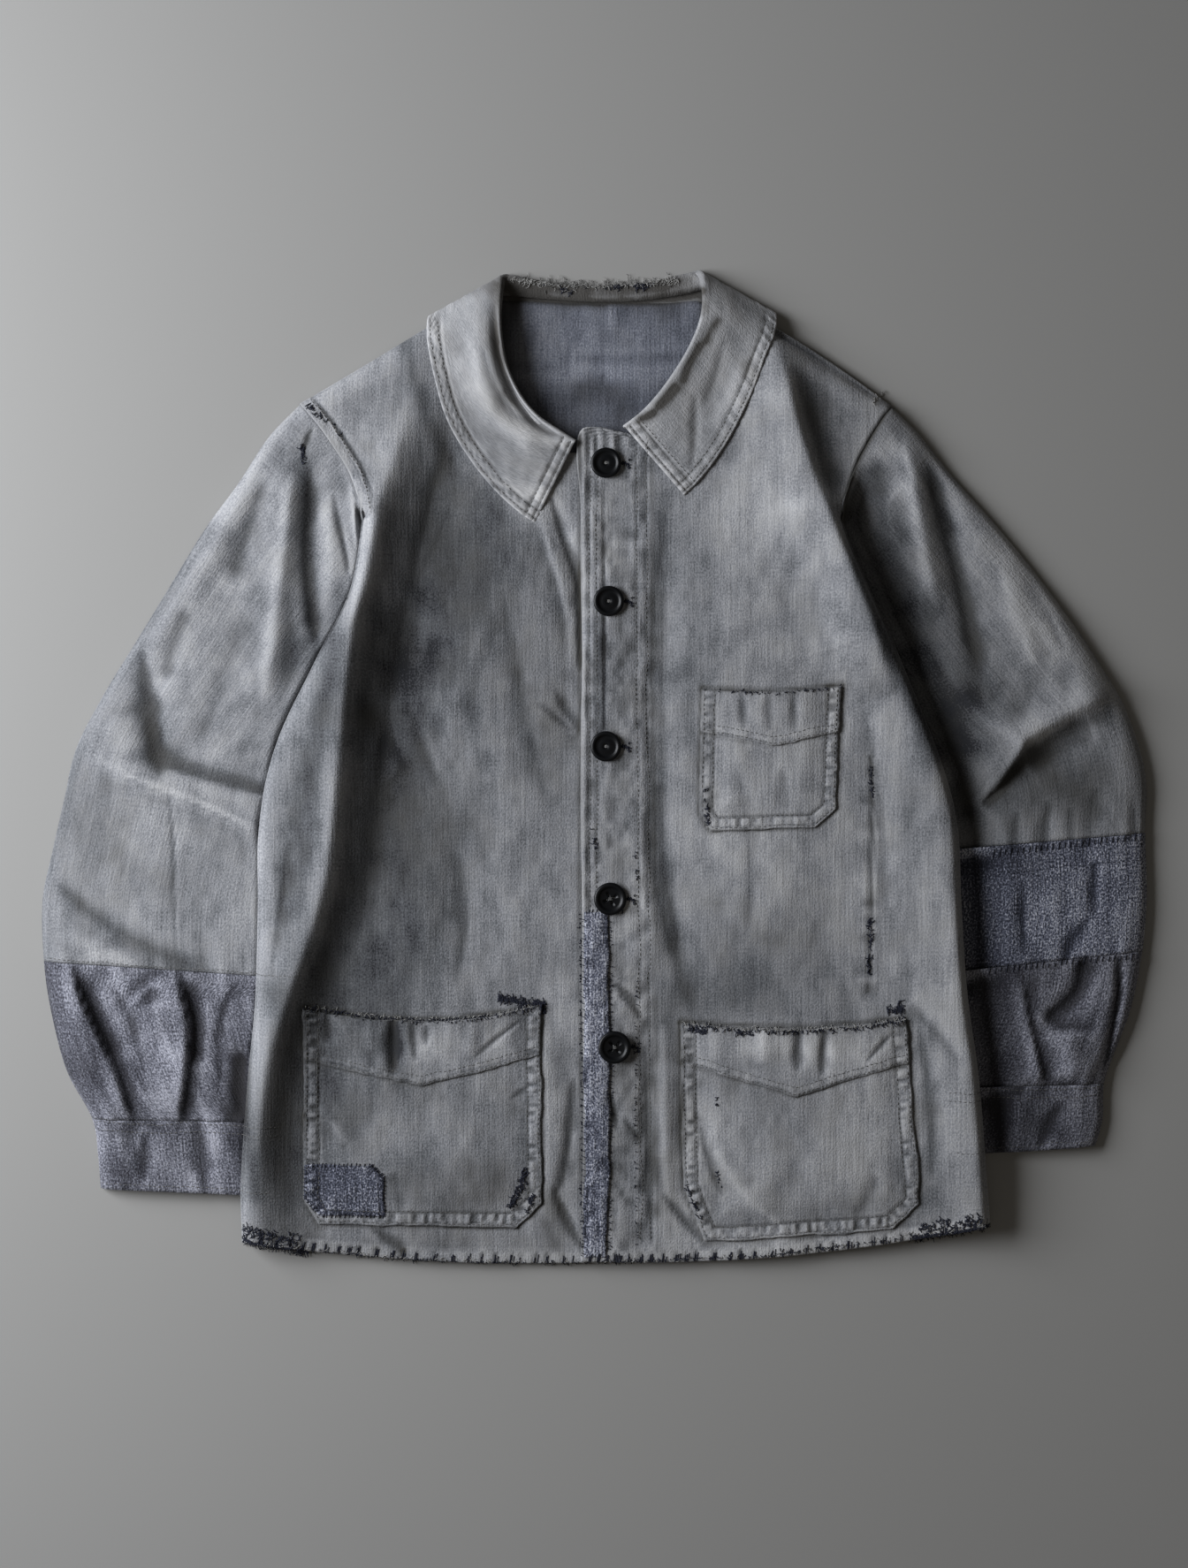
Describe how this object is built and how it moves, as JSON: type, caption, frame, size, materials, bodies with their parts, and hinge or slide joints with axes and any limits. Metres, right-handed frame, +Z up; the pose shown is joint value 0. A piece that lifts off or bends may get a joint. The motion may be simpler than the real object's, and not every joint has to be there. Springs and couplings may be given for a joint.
{
  "type": "patched work jacket laid flat",
  "caption": "Worn, buttoned cotton work jacket lying flat face up, with a turned-down collar, patch pockets, arms at its sides, darker forearms and cuffs, and sewn-on patches.",
  "frame": {"origin": "on the surface that the jacket lies on, under the middle of its overall width and length", "axes": "+X towards the wearer's left sleeve, +Y towards the collar, +Z up from the surface; the fronts face up"},
  "size_m": [0.7763, 0.6972, 0.0287],
  "materials": {
    "chambray": "faded grey-blue cotton chambray drill, washed soft, soiled and worn pale at folds and edges",
    "collar_cloth": "the same cotton worn paler and warmer on the collar, top-stitched in two rows",
    "marled_slate": "darker slate and purple-grey marled cotton of the sleeve extensions and cuffs",
    "navy_marl": "navy and white marled cotton of the sewn-on band, strip and patch",
    "black_button": "black pressed button, worn glossy, with a raised rim"
  },
  "bodies": {
    "root": {"back_panel": "chambray", "right_front": "chambray", "left_front": "chambray", "collar": "collar_cloth", "right_sleeve": "chambray", "right_sleeve_extension": "marled_slate", "right_cuff": "marled_slate", "left_sleeve": "chambray", "left_sleeve_band": "navy_marl", "left_sleeve_extension": "marled_slate", "left_cuff": "marled_slate", "chest_pocket": "chambray", "chest_pocket_facing": "chambray", "right_hip_pocket": "chambray", "right_hip_pocket_facing": "chambray", "left_hip_pocket": "chambray", "left_hip_pocket_facing": "chambray", "pocket_patch": "navy_marl", "edge_strip": "navy_marl", "button_1": "black_button", "button_2": "black_button", "button_3": "black_button", "button_4": "black_button", "button_5": "black_button"}
  },
  "joints": []
}
